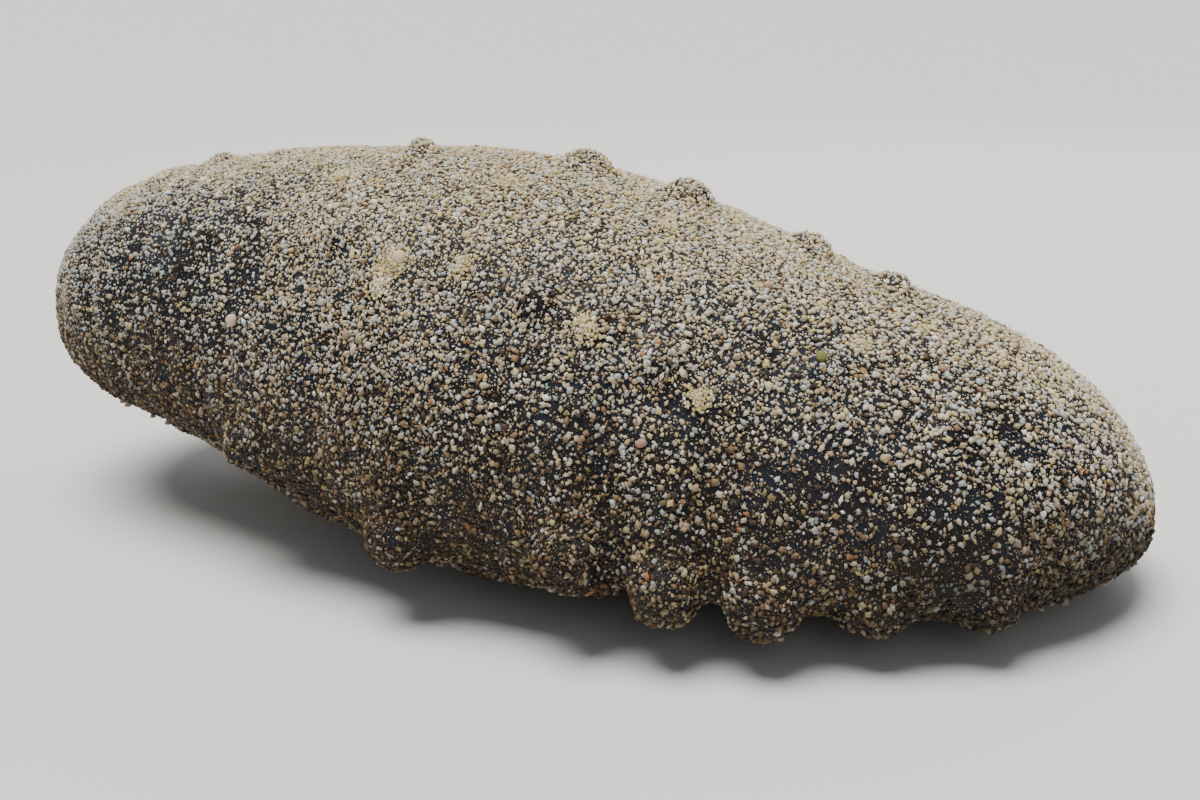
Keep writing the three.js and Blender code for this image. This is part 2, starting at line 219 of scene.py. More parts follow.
class TeatfishSand(bpy.types.PropertyGroup):
    """Sizes and colours of the sand."""

    grain: length_setting("Grain", "Usual length of a coarse grain", 1.25 * MM)
    spacing: length_setting("Spacing", "Distance between places for coarse grains", 2.6 * MM)
    fine: length_setting("Fine grain", "Usual length of a fine grain", 1.2 * MM)
    fine_spacing: length_setting("Fine spacing", "Distance between places for fine grains", 1.13 * MM)
    spread: share_setting("Spread", "How much the grains differ in size", 0.3)
    seed: bpy.props.IntProperty(name="Seed", description="Which random coat is laid", default=11, min=0)
    cream: colour_setting("Cream", "Most of the grains", (0.62, 0.535, 0.38))
    grey: colour_setting("Grey", "Pale grey grains", (0.46, 0.475, 0.45))
    white: colour_setting("White", "Bleached grains", (0.80, 0.77, 0.69))
    beige: colour_setting("Beige", "Duller grains", (0.50, 0.385, 0.24))
    yellow: colour_setting("Yellow", "Grains on the back and in the clots", (0.62, 0.50, 0.23))
    tan: colour_setting("Tan", "Grains low on the flanks", (0.30, 0.195, 0.10))
    umber: colour_setting("Umber", "Dark grains", (0.085, 0.055, 0.036))
    rust: colour_setting("Rust", "A few reddish bits", (0.46, 0.21, 0.085))
    weed: colour_setting("Weed", "A few greenish bits", (0.16, 0.17, 0.05))


class TeatfishParts(bpy.types.PropertyGroup):
    """Sizes and colours of the feet, the mouth and the anus."""

    foot_radius: length_setting("Foot radius", "Radius of a tube foot's sucker", 1.05 * MM)
    foot_spacing: length_setting("Foot spacing", "Distance between tube feet", 4.3 * MM)
    foot_length: length_setting("Foot length", "How far a foot hangs where the sole is raised", 2.6 * MM)
    foot: colour_setting("Foot", "Stem of a tube foot", (0.30, 0.235, 0.17))
    sucker: colour_setting("Sucker", "End of a tube foot", (0.34, 0.28, 0.20))
    tentacle: colour_setting("Tentacle", "Tentacles and mouth disc", (0.016, 0.014, 0.014))
    tentacle_tip: colour_setting("Tentacle tip", "Buds of the tentacles", (0.070, 0.052, 0.038))
    papilla: colour_setting("Papilla", "Papillae round the anus", (0.19, 0.155, 0.11))


class TeatfishStage(bpy.types.PropertyGroup):
    """The floor, the lights and the camera."""

    azimuth: bpy.props.FloatProperty(
        name="Azimuth", description="Camera's turn round the animal",
        default=math.radians(12), subtype="ANGLE",
    )
    elevation: bpy.props.FloatProperty(
        name="Elevation", description="Camera's height angle", default=math.radians(16), subtype="ANGLE"
    )
    distance: length_setting("Distance", "Camera's distance from what it looks at", 420 * MM)
    lens: bpy.props.FloatProperty(name="Lens", description="Focal length in millimetres", default=45, min=1)
    target: bpy.props.FloatVectorProperty(
        name="Target", description="What the camera looks at",
        default=(0.01633, 0, 0.043), subtype="TRANSLATION",
    )
    floor: colour_setting("Floor", "Colour of the floor", (0.64, 0.635, 0.62))


def settings(name):
    return getattr(bpy.context.scene, f"teatfish_{name}")


# Helpers for pieces


def only(piece):
    """Leaves one piece selected and active, in object mode."""
    if bpy.context.mode != "OBJECT":
        bpy.ops.object.mode_set(mode="OBJECT")
    bpy.ops.object.select_all(action="DESELECT")
    if piece:
        piece.select_set(True)
    bpy.context.view_layer.objects.active = piece


def edit_all():
    """Goes into edit mode with everything selected."""
    bpy.ops.object.mode_set(mode="EDIT")
    bpy.ops.mesh.select_all(action="SELECT")


def close_holes():
    """In edit mode, fills each open border."""
    bpy.ops.mesh.select_non_manifold(
        extend=False, use_wire=False, use_multi_face=False, use_non_contiguous=False
    )
    bpy.ops.mesh.fill_holes(sides=0)


def apply_modifier(piece, kind, **values):
    only(piece)
    modifier = piece.modifiers.new(kind.title(), kind)
    for name, value in values.items():
        setattr(modifier, name, value)
    bpy.ops.object.modifier_apply(modifier=modifier.name)


def displace_by_noise(piece, kind, scale, height, **values):
    texture = bpy.data.textures.new("Relief", kind)
    texture.noise_scale = scale
    for name, value in values.items():
        setattr(texture, name, value)
    apply_modifier(piece, "DISPLACE", texture=texture, strength=height, mid_level=0.5, texture_coords="LOCAL")
    bpy.data.textures.remove(texture)


def join(pieces, name):
    only(pieces[0])
    for piece in pieces:
        piece.select_set(True)
    bpy.ops.object.join()
    joined = bpy.context.view_layer.objects.active
    joined.name = name
    joined.data.name = name
    return joined


def finished(piece, name, material, nodes=()):
    """Names a piece, gives it its material, and ties it to the frame."""
    piece.name = name
    piece.data.name = name
    piece.data.materials.clear()
    piece.data.materials.append(material)
    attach(piece, BODY)
    if nodes:
        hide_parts(*nodes)
    return piece


def points_of(mesh):
    values = np.empty(len(mesh.vertices) * 3, np.float32)
    mesh.vertices.foreach_get("co", values)
    return values.reshape(-1, 3).astype(float)


def normals_of(mesh):
    values = np.empty(len(mesh.vertices) * 3, np.float32)
    mesh.vertex_normals.foreach_get("vector", values)
    return values.reshape(-1, 3).astype(float)


def move_points(mesh, points):
    mesh.vertices.foreach_set("co", points.astype(np.float32).ravel())
    mesh.update()


def triangles_of(mesh):
    mesh.calc_loop_triangles()
    values = np.empty(len(mesh.loop_triangles) * 3, np.int32)
    mesh.loop_triangles.foreach_get("vertices", values)
    return values.reshape(-1, 3)


def taken_apart(piece):
    """A piece's points and triangles, once the piece itself is removed."""
    mesh = piece.data
    points, faces = points_of(mesh), triangles_of(mesh)
    bpy.data.objects.remove(piece)
    bpy.data.meshes.remove(mesh)
    return points, faces


def shade_smooth(mesh):
    mesh.polygons.foreach_set("use_smooth", np.ones(len(mesh.polygons), bool))


def mesh_piece(name, points, faces):
    """A mesh object from arrays of points and of triangles."""
    mesh = bpy.data.meshes.new(name)
    mesh.vertices.add(len(points))
    mesh.vertices.foreach_set("co", points.astype(np.float32).ravel())
    mesh.loops.add(faces.size)
    mesh.loops.foreach_set("vertex_index", faces.astype(np.int32).ravel())
    mesh.polygons.add(len(faces))
    mesh.polygons.foreach_set("loop_start", np.arange(0, faces.size, 3, dtype=np.int32))
    mesh.update(calc_edges=True)
    if mesh.validate():
        raise RuntimeError(f"the faces of {name} don't make a sound mesh")
    piece = bpy.data.objects.new(name, mesh)
    bpy.context.scene.collection.objects.link(piece)
    return piece


def write_map(mesh, per_point):
    """Writes the OFBake map from one place for each point."""
    corners = np.empty(len(mesh.loops), np.int32)
    mesh.loops.foreach_get("vertex_index", corners)
    layer = mesh.uv_layers.new(name="OFBake")
    layer.data.foreach_set("uv", per_point[corners].astype(np.float32).ravel())
    mesh.uv_layers.active = layer


def write_colours(mesh, name, per_point):
    layer = mesh.color_attributes.new(name=name, type="FLOAT_COLOR", domain="POINT")
    values = np.ones((len(per_point), 4), np.float32)
    values[:, :3] = per_point
    layer.data.foreach_set("color", values.ravel())


def write_shares(mesh, name, per_point):
    layer = mesh.attributes.new(name=name, type="FLOAT", domain="POINT")
    layer.data.foreach_set("value", per_point.astype(np.float32))


def unit(vectors):
    return vectors / np.maximum(np.linalg.norm(vectors, axis=-1, keepdims=True), 1e-12)


def smooth_noise(points, size, seed):
    """Smooth random values from -1 to 1, with lumps of about the given size."""
    table = np.random.default_rng(seed).uniform(-1, 1, (32, 32, 32))
    place = points / size
    cell = np.floor(place).astype(int)
    t = place - cell
    t = t * t * (3 - 2 * t)
    total = np.zeros(len(points))
    for corner in np.ndindex(2, 2, 2):
        weight = np.prod(np.where(np.array(corner) == 1, t, 1 - t), axis=1)
        i, j, k = ((cell + corner) % 32).T
        total += weight * table[i, j, k]
    return total


class BodyMap:
    """An unwrap of the skin's own shape: along the body, and round it from the middle of the sole."""

    SECTIONS = 64
    TURN = 0.97
    MARGIN = 0.012

    def __init__(self, points):
        x = points[:, 0]
        edges = np.linspace(x.min(), x.max(), self.SECTIONS + 1)
        self.x = (edges[1:] + edges[:-1]) / 2
        which = np.clip(np.digitize(x, edges) - 1, 0, self.SECTIONS - 1)
        parts = [points[which == k] for k in range(self.SECTIONS)]
        middle = np.array([(part.min(0) + part.max(0)) / 2 for part in parts])
        even = np.array([0.25, 0.5, 0.25])
        for _ in range(3):
            middle[1:-1] = sum(w * middle[i : len(middle) - 2 + i] for i, w in enumerate(even))
        self.y = middle[:, 1]
        self.z = middle[:, 2]
        across = np.linalg.norm(points[:, 1:] - self.centre(x), axis=1)
        radius = np.array([across[which == k].mean() for k in range(self.SECTIONS)])
        self.edges = np.concatenate([[x.min()], self.x, [x.max()]])
        radius = np.concatenate([[0], radius, [0]])
        steps = np.hypot(np.diff(self.edges), np.diff(radius))
        self.run = np.concatenate([[0], np.cumsum(steps)]) / steps.sum()

    def centre(self, x):
        return np.stack([np.interp(x, self.x, self.y), np.interp(x, self.x, self.z)], axis=1)

    def angle(self, points):
        """Degrees round the body: 0 faces -Y and 90 is the back."""
        centre = self.centre(points[:, 0])
        return np.degrees(np.arctan2(points[:, 2] - centre[:, 1], centre[:, 0] - points[:, 1]))

    def place(self, points):
        along = self.MARGIN + (1 - 2 * self.MARGIN) * np.interp(points[:, 0], self.edges, self.run)
        turn = ((self.angle(points) + 90) % 360) / 360
        return np.stack([along, self.MARGIN + self.TURN * turn], axis=1)


def turn_between(a, b):
    """The smaller turn between angles in degrees."""
    return np.abs((a - b + 180) % 360 - 180)


def at_tips(points):
    """Rises to 1 at the raised rear end and at the front tip, which are sanded all round."""
    x = points[:, 0] / MM
    return np.clip((-122 - x) / 16, 0, 1) + np.clip((x - 146) / 10, 0, 1)


def along_body(points, at_rear, at_head):
    """A value that changes evenly from the rear end to the head."""
    return np.interp(points[:, 0], [CAD_BOX[0][0], CAD_BOX[1][0]], [at_rear, at_head])


def sand_cover(points, angle):
    """The share of the skin that sand covers: nearly all on the back, less low down, none on the sole."""
    x = points[:, 0] / MM
    up = np.sin(np.radians(angle))
    cover = np.interp(up, COVER_UP, COVER)
    cover = np.maximum(cover, TIP_COVER * at_tips(points))
    cover += 0.08 * smooth_noise(points, 16 * MM, 1) + 0.07 * smooth_noise(points, 6 * MM, 2)
    cover += CLUMPING * np.clip(1.5 - 1.1 * up, 0.55, 1) * smooth_noise(points, CLUMP * MM, 4)
    for place, turn, length, width, share in BARE_PATCHES:
        near = ((x - place) / length) ** 2 + (turn_between(angle, turn) / width) ** 2
        ragged = 1 + 0.5 * smooth_noise(points, 5 * MM, 3)
        cover -= share * np.exp(-near * ragged)
    cover -= 0.16 * np.clip((x - 40) / 60, 0, 1) * np.clip(up / 0.5, 0, 1)
    least = LEAST_COVER * np.clip((up + 0.72) / 0.2, 0, 1)
    return np.clip(cover, least, 1)


# Materials


class Value:
    """A number socket that sums can be written with."""

    def __init__(self, look, socket):
        self.look = look
        self.socket = socket

    def maths(self, operation, a, b=0.0, clamp=False):
        made = self.look.node("ShaderNodeMath", {"operation": operation, "use_clamp": clamp}, {0: a, 1: b})
        return Value(self.look, made.outputs[0])

    def __add__(self, other):
        return self.maths("ADD", self, other)

    def __radd__(self, other):
        return self.maths("ADD", other, self)

    def __sub__(self, other):
        return self.maths("SUBTRACT", self, other)

    def __rsub__(self, other):
        return self.maths("SUBTRACT", other, self)

    def __mul__(self, other):
        return self.maths("MULTIPLY", self, other)

    def __rmul__(self, other):
        return self.maths("MULTIPLY", other, self)

    def __truediv__(self, other):
        return self.maths("DIVIDE", self, other)

    def clamped(self):
        return self.maths("ADD", self, 0.0, clamp=True)

    def step(self, low, high):
        """Rises from 0 at low to 1 at high."""
        return ((self - low) / (high - low)).clamped()


class Look:
    """One material, built node by node round a Principled shader."""

    def __init__(self, name, **fixed):
        self.material = bpy.data.materials.new(name)
        self.material.use_nodes = True
        self.tree = self.material.node_tree
        self.tree.nodes.clear()
        inputs = {name.replace("_", " "): value for name, value in fixed.items()}
        self.shader = self.node("ShaderNodeBsdfPrincipled", {}, inputs)
        self.node("ShaderNodeOutputMaterial", {}, {"Surface": self.shader.outputs[0]})
        self.place = self.node("ShaderNodeTexCoord").outputs["Object"]

    def node(self, kind, options=None, inputs=None):
        made = self.tree.nodes.new(kind)
        for name, value in (options or {}).items():
            if name == "stops":
                self.set_stops(made.color_ramp, value)
            else:
                setattr(made, name, value)
        for name, value in (inputs or {}).items():
            socket = made.inputs[name]
            if isinstance(value, Value):
                value = value.socket
            if isinstance(value, bpy.types.NodeSocket):
                self.tree.links.new(value, socket)
            else:
                socket.default_value = value
        return made

    @staticmethod
    def set_stops(ramp, stops):
        while len(ramp.elements) < len(stops):
            ramp.elements.new(0.5)
        for element, (position, colour) in zip(ramp.elements, stops):
            element.position = position
            element.color = (*colour, 1)

    def noise(self, size, detail=3.0, roughness=0.55):
        """Noise with lumps of the given size, from 0 to 1."""
        inputs = {"Vector": self.place, "Scale": 1 / size, "Detail": detail, "Roughness": roughness}
        return Value(self, self.node("ShaderNodeTexNoise", {}, inputs).outputs[0])

    def cells(self, size, feature="F1", randomness=1.0):
        inputs = {"Vector": self.place, "Scale": 1 / size, "Randomness": randomness}
        return self.node("ShaderNodeTexVoronoi", {"feature": feature}, inputs)

    def attribute(self, name):
        return self.node("ShaderNodeAttribute", {"attribute_name": name})

    def share(self, name):
        return Value(self, self.attribute(name).outputs["Fac"])

    def colour(self, value):
        """A colour is used as a socket or as a fixed colour."""
        return value if isinstance(value, bpy.types.NodeSocket) else (*value, 1)

    def mix(self, share, a, b, blend="MIX"):
        options = {"data_type": "RGBA", "blend_type": blend}
        made = self.node("ShaderNodeMix", options, {0: share, 6: self.colour(a), 7: self.colour(b)})
        return made.outputs[2]

    def finish(self, colour, roughness, height, bump, distance=1.0 * MM):
        normal = self.node("ShaderNodeBump", {}, {"Strength": bump, "Distance": distance, "Height": height})
        feeds = {"Base Color": colour, "Roughness": roughness, "Normal": normal.outputs[0]}
        for name, value in feeds.items():
            socket = value.socket if isinstance(value, Value) else value
            if isinstance(socket, bpy.types.NodeSocket):
                self.tree.links.new(socket, self.shader.inputs[name])
            else:
                fixed = self.colour(socket) if name == "Base Color" else socket
                self.shader.inputs[name].default_value = fixed
        return self.material


def skin_material():
    own, sand = settings("skin"), settings("sand")
    look = Look("Skin", Specular_IOR_Level=0.16)
    cover = look.share("cover")
    low = look.share("low")
    under = look.share("under")
    bare = look.mix(look.noise(14 * MM).step(0.38, 0.62), own.blue, own.black)
    bare = look.mix(low * look.noise(9 * MM).step(0.3, 0.7), bare, own.brown)
    blotch = look.noise(5 * MM, detail=4, roughness=0.65)
    bare = look.mix(under * (0.35 + 0.65 * blotch.step(0.35, 0.6)), bare, own.sole)
    flecks = look.cells(0.7 * MM)
    distance = Value(look, flecks.outputs["Distance"])
    reach = 0.14 + 0.36 * cover
    fleck = ((reach - distance) / 0.10).clamped() * cover.step(0.08, 0.3)
    tint = Value(look, look.node("ShaderNodeSeparateColor", {}, {0: flecks.outputs["Color"]}).outputs[0])
    fine = look.mix(tint.step(0.1, 0.4), sand.umber, sand.beige)
    fine = look.mix(tint.step(0.4, 0.7), fine, sand.cream)
    # Painted shade: the sand flecks darken towards umber low on the flanks.
    fine = look.mix(low * 0.85, fine, sand.umber)
    colour = look.mix(fleck * 0.9, bare, fine)
    pores = look.noise(0.9 * MM, detail=2)
    wrinkle = look.noise(3.2 * MM, detail=4, roughness=0.6)
    height = fleck * 0.5 + pores * 0.22 + wrinkle * 0.5
    roughness = 0.56 + 0.3 * fleck + 0.12 * pores
    return look.finish(colour, roughness, height, 0.8, 0.6 * MM)


def sand_material():
    look = Look("Sand", Specular_IOR_Level=0.3)
    tint = look.attribute("grain").outputs["Color"]
    mottle = look.noise(0.5 * MM, detail=3, roughness=0.65)
    colour = look.mix(mottle.step(0.42, 0.72) * 0.45, tint, (0.30, 0.25, 0.19), "MULTIPLY")
    pits = look.noise(0.22 * MM, detail=2)
    return look.finish(colour, 0.62 + 0.26 * mottle, pits + mottle, 0.5, 0.15 * MM)


def feet_material():
    parts = settings("parts")
    look = Look("Tube Feet", Specular_IOR_Level=0.5)
    sucker = look.share("sucker")
    colour = look.mix(sucker, parts.foot, parts.sucker)
    mottle = look.noise(1.1 * MM)
    colour = look.mix(mottle.step(0.4, 0.7) * 0.5, colour, (0.10, 0.07, 0.05))
    rings = look.noise(0.35 * MM)
    return look.finish(colour, 0.38 + 0.2 * mottle, rings, 0.5, 0.2 * MM)


def mouth_material():
    parts = settings("parts")
    look = Look("Tentacles", Specular_IOR_Level=0.5)
    tip = look.share("tip")
    grain = look.noise(0.7 * MM)
    colour = look.mix(tip * grain.step(0.3, 0.7), parts.tentacle, parts.tentacle_tip)
    return look.finish(colour, 0.3 + 0.25 * grain, grain, 0.5, 0.3 * MM)


def papilla_material():
    parts = settings("parts")
    look = Look("Papillae", Specular_IOR_Level=0.45)
    tip = look.share("tip")
    grain = look.noise(0.8 * MM)
    dark = look.mix(grain, (0.05, 0.04, 0.035), (0.11, 0.085, 0.06))
    colour = look.mix(tip, dark, parts.papilla)
    colour = look.mix(grain.step(0.45, 0.75) * 0.4, colour, (0.20, 0.15, 0.10))
    return look.finish(colour, 0.45 + 0.2 * grain, grain, 0.5, 0.3 * MM)


def floor_material():
    look = Look("Floor")
    grain = look.noise(60 * MM, detail=2)
    tint = settings("stage").floor
    colour = look.mix(grain, tuple(0.985 * c for c in tint), tuple(tint))
    return look.finish(colour, 0.78 + 0.1 * grain, grain, 0.02)


# The skin


def without_feet(piece):
    """Takes the coarse feet off a copied sole, and closes the skin where they stood."""
    only(piece)
    bpy.ops.object.mode_set(mode="EDIT")
    bpy.ops.mesh.select_mode(type="VERT")
    bpy.ops.mesh.select_all(action="SELECT")
    bpy.ops.mesh.remove_doubles(threshold=0.01 * MM)
    bpy.ops.mesh.select_all(action="DESELECT")
    shape = bmesh.from_edit_mesh(piece.data)
    ends = [v.co.x for v in shape.verts]
    first, last = min(ends) + 0.1 * MM, max(ends) - 0.1 * MM
    tips = set()
    for edge in shape.edges:
        low, high = sorted(edge.verts, key=lambda v: v.co.z)
        rise = high.co.z - low.co.z
        run = (high.co.xy - low.co.xy).length
        if rise > 1.2 * MM and run < 0.7 * MM and first < low.co.x < last and low.normal.z < -0.2:
            tips.add(low)
    for vertex in shape.verts:
        if vertex in tips or all(e.other_vert(vertex) in tips for e in vertex.link_edges):
            vertex.select_set(True)
    shape.select_flush(True)
    bmesh.update_edit_mesh(piece.data)
    bpy.ops.mesh.delete(type="VERT")
    close_holes()
    bpy.ops.object.mode_set(mode="OBJECT")


def merged(piece):
    only(piece)
    edit_all()
    bpy.ops.mesh.remove_doubles(threshold=0.01 * MM)
    bpy.ops.mesh.normals_make_consistent(inside=False)
    bpy.ops.object.mode_set(mode="OBJECT")


def copied_flesh():
    copies = []
    for node in FLESH:
        copy = bpy.data.objects.new(node + "_copy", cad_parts[node].data.copy())
        bpy.context.scene.collection.objects.link(copy)
        if node in SOLES:
            without_feet(copy)
        merged(copy)
        copies.append(copy)
    return join(copies, "skin")


def swell_teats(mesh):
    """Raises the flank round each teat, so that it runs into the body as a lobe."""
    points, out = points_of(mesh), normals_of(mesh)
    rise = np.zeros(len(points))
    for node in TEATS:
        low, high = (np.array(corner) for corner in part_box(node))
        reach = 0.62 * (high[0] - low[0])
        far = np.linalg.norm((points - (low + high) / 2) / [1.0, 1.0, 1.35], axis=1)
        if node == FAINT_TEAT:
            rise -= FAINT_PRESS * np.exp(-((far / reach) ** 2))
        else:
            rise = np.maximum(rise, TEAT_SWELL * np.exp(-((far / reach) ** 2)))
    move_points(mesh, points + out * rise[:, None])


def carve(mesh, body):
    """Presses the creases between the lobes and the folds of the rear end into the skin."""
    points, out = points_of(mesh), normals_of(mesh)
    x = points[:, 0] / MM
    angle = body.angle(points)
    wander = 2.2 * smooth_noise(points, 14 * MM, 5)
    depth = np.zeros(len(points))
    for place, top, amount in CREASES:
        across = np.exp(-(((x + wander - place) / CREASE_WIDTH) ** 2))
        up_to = np.clip((top - angle) / 22, 0, 1) * np.clip((angle + 75) / 15, 0, 1)
        far_side = np.clip((top - (180 - angle)) / 22, 0, 1) * np.clip((255 - (angle % 360)) / 15, 0, 1)
        depth += amount * across * np.where(np.abs(angle) < 90, up_to, 0.8 * far_side)
    for place, amount in FOLDS:
        lean = 0.10 * (points[:, 2] / MM - 60)
        fade = np.clip((angle + 80) / 30, 0, 1) * np.where(angle < 90, 1.0, 0.8)
        fade = fade * np.clip((110 - angle) / 40, 0.3, 1)
        depth += amount * fade * np.exp(-(((x + wander + lean - place) / FOLD_WIDTH) ** 2))
    move_points(mesh, points - out * (depth * MM)[:, None])


def body_skin():
    own = settings("skin")
    skin = copied_flesh()
    apply_modifier(skin, "DISPLACE", strength=own.overlap, mid_level=0)
    apply_modifier(skin, "REMESH", mode="VOXEL", voxel_size=own.voxel)
    apply_modifier(skin, "SMOOTH", factor=0.5, iterations=SMOOTHING)
    apply_modifier(skin, "DISPLACE", strength=-(own.overlap + own.depth), mid_level=0)
    body = BodyMap(points_of(skin.data))
    swell_teats(skin.data)
    carve(skin.data, body)
    displace_by_noise(skin, "CLOUDS", 22 * MM, own.lumps)
    displace_by_noise(skin, "CLOUDS", 6 * MM, own.wrinkles)
    apply_modifier(skin, "SMOOTH", factor=0.4, iterations=1)
    return skin


def mark_skin(mesh, body):
    """Writes the markings that the material reads, and the unwrap."""
    points = points_of(mesh)
    angle = body.angle(points)
    up = np.sin(np.radians(angle))
    write_shares(mesh, "cover", sand_cover(points, angle))
    # Rises towards the sole: the material browns the bare skin with it, and darkens the sand flecks with it
    # as painted shade.
    write_shares(mesh, "low", np.clip((0.25 - up) / 0.7, 0, 1))
    write_shares(mesh, "under", np.clip((-0.72 - up) / 0.15, 0, 1) * (1 - at_tips(points)))
    corners = np.empty(len(mesh.loops), np.int32)
    mesh.loops.foreach_get("vertex_index", corners)
    places = body.place(points)[corners]
    starts = np.empty(len(mesh.polygons), np.int32)
    mesh.polygons.foreach_get("loop_start", starts)
    sizes = np.diff(np.append(starts, len(corners)))
    owner = np.repeat(np.arange(len(starts)), sizes)
    most = np.maximum.reduceat(places[:, 1], starts)[owner]
    crosses = (most - np.minimum.reduceat(places[:, 1], starts)[owner]) > 0.5
    places[crosses & (places[:, 1] < 0.5), 1] += body.TURN
    places[:, 1] = np.minimum(places[:, 1], 0.999)
    layer = mesh.uv_layers.new(name="OFBake")
    layer.data.foreach_set("uv", places.astype(np.float32).ravel())
    shade_smooth(mesh)


class Surface:
    """The finished skin, from which places for grains and feet are taken."""

    def __init__(self, mesh, body):
        self.body = body
        self.points = points_of(mesh)
        self.out = normals_of(mesh)
        self.faces = triangles_of(mesh)
        a, b, c = (self.points[self.faces[:, k]] for k in range(3))
        self.area = np.linalg.norm(np.cross(b - a, c - a), axis=1) / 2

    def scatter(self, count, rng):
        """Random places, spread evenly: their points and the ways out."""
        face = rng.choice(len(self.faces), count, p=self.area / self.area.sum())
        r, s = np.sqrt(rng.random(count)), rng.random(count)
        weights = np.stack([1 - r, r * (1 - s), r * s], axis=1)
        corners = self.faces[face]
        points = np.einsum("ij,ijk->ik", weights, self.points[corners])
        out = unit(np.einsum("ij,ijk->ik", weights, self.out[corners]))
        return points, out

    def spaced(self, spacing, rng, at_rear=1.0, at_head=1.0):
        """Places about the spacing apart, and for each a share by which they can be thinned evenly."""
        points, out = self.scatter(int(5 * self.area.sum() / (spacing * at_rear) ** 2), rng)
        local = spacing * along_body(points, at_rear, at_head)[:, None]
        cell = np.floor(points / local).astype(np.int64) + 100000
        key = (cell[:, 0] * 1000003 + cell[:, 1]) * 1000003 + cell[:, 2]
        first = np.unique(key, return_index=True)[1]
        return points[first], out[first], (cell[first] @ EVEN_STEPS) % 1

    def at(self, x, turn):
        """The place on the skin at millimetres along X and degrees round."""
        angle = self.body.angle(self.points)
        off = ((self.points[:, 0] / MM - x)) ** 2 + turn_between(angle, turn) ** 2
        nearest = np.argmin(off)
        return self.points[nearest], self.out[nearest]


# The sand


def grain_shapes(count, rough, seed, fine=False):
    """Angular grains, each shaped from a primitive: their points, and the faces that all share."""
    shapes = []
    rng = np.random.default_rng(seed)
    for k in range(count):
        only(None)
        if fine:
            bpy.ops.mesh.primitive_uv_sphere_add(segments=4, ring_count=2, radius=0.56)
        else:
            bpy.ops.mesh.primitive_ico_sphere_add(subdivisions=1, radius=0.5)
        grain = bpy.context.object
        edit_all()
        width = rng.uniform(0.5, 0.8)
        bpy.ops.transform.resize(value=(1.0, width, rng.uniform(0.4, 0.62)))
        bpy.ops.transform.vertex_random(offset=rough, uniform=0.0, normal=0.0, seed=seed + k + 1)
        bpy.ops.object.mode_set(mode="OBJECT")
        points, faces = taken_apart(grain)
        shapes.append(points)
    return np.array(shapes), faces


def turned_frames(out, rng, tilt):
    """Axes for loose things on a surface: turned any way about the way out, and tilted a little."""
    out = unit(out + tilt * rng.normal(size=out.shape))
    side = unit(np.cross(out, unit(rng.normal(size=out.shape))))
    return np.stack([side, np.cross(out, side), out], axis=2)


def lay_grains(name, shapes, faces, roots, frames, sizes, colours, body, rng):
    """One joined mesh of grains, with their colours and their patches on the unwrap."""
    kinds = rng.integers(len(shapes), size=len(roots))
    local = shapes[kinds] * sizes[:, None, :]
    points = roots[:, None, :] + np.einsum("nij,nkj->nki", frames, local)
    each = shapes.shape[1]
    all_faces = (faces[None] + (np.arange(len(roots)) * each)[:, None, None]).reshape(-1, 3)
    piece = mesh_piece(name, points.reshape(-1, 3), all_faces)
    patch = body.place(roots)[:, None, :] + GRAIN_PATCH * shapes[kinds][:, :, :2]
    write_map(piece.data, np.clip(patch, 0, 1).reshape(-1, 2))
    write_colours(piece.data, "grain", np.repeat(colours, each, axis=0))
    return piece


def grain_colours(points, angle, rng):
    """Cream and yellow on the back, grey on the flanks and the rear, tan and umber low down. The tan and
    umber low down are partly painted shade, and every grain is also darkened as painted shade the further
    down it faces, and more so under the head.
    """
    sand = settings("sand")
    names = ("cream", "grey", "white", "beige", "yellow", "tan", "umber", "rust")
    palette = np.array([tuple(getattr(sand, n)) for n in names])
    up = np.sin(np.radians(angle)) + 0.16 * smooth_noise(points, 12 * MM, 7)
    stops = [-0.8, -0.35, 0.1, 0.6, 1.0]
    # The umber and tan that take over low down are partly the sand's own colour and partly painted shade.
    weights = {
        "cream": [0.01, 0.05, 0.25, 0.42, 0.46],
        "grey": [0.01, 0.04, 0.25, 0.25, 0.16],
        "white": [0.00, 0.01, 0.06, 0.06, 0.06],
        "beige": [0.05, 0.16, 0.20, 0.14, 0.13],
        "yellow": [0.01, 0.03, 0.04, 0.08, 0.19],
        "tan": [0.30, 0.33, 0.11, 0.03, 0.01],
        "umber": [0.60, 0.37, 0.09, 0.02, 0.01],
        "rust": [0.02, 0.012, 0.006, 0.002, 0.001],
    }
    chances = np.stack([np.interp(up, stops, weights[n]) for n in names], axis=1)
    rear = np.clip((-58 - points[:, 0] / MM) / 24, 0, 1)
    rear = rear * np.clip((up + 0.2) / 0.4, 0, 1) * np.clip((0.95 - up) / 0.2, 0, 1)
    chances[:, names.index("grey")] += 0.6 * rear
    chances[:, names.index("umber")] += 0.12 * rear
    chances = np.cumsum(chances / chances.sum(1, keepdims=True), axis=1)
    pick = (rng.random(len(points))[:, None] > chances).sum(1).clip(0, len(names) - 1)
    # Painted shade: grains darken the further down they face, and more so low under the head.
    shade = np.interp(up, [-0.9, -0.3, 0.2, 0.7], [0.38, 0.57, 0.87, 1.02])
    shade *= 1 - 0.6 * np.clip((points[:, 0] / MM - 80) / 30, 0, 1) * np.clip((0.15 - up) / 0.4, 0, 1)
    uneven = rng.uniform(0.78, 1.12, (len(points), 1))
    return palette[pick] * shade[:, None] * uneven * rng.normal(1, 0.03, (len(points), 3))


def coat_places(surface, grain, spacing, share, rng):
    """Where the grains lie: the points, the ways out, and how big each grain is."""
    spread = settings("sand").spread
    points, out, even = surface.spaced(spacing, rng, *FINER_AND_COARSER)
    cover = sand_cover(points, surface.body.angle(points))
    keep = (even + CHANCE * rng.random(len(points))) % 1 < cover * share
    points, out = points[keep], out[keep]
    size = grain * along_body(points, *FINER_AND_COARSER) * np.exp(spread * rng.normal(size=len(points)))
    return points, out, np.clip(size, 0.5 * grain, 2.0 * grain)


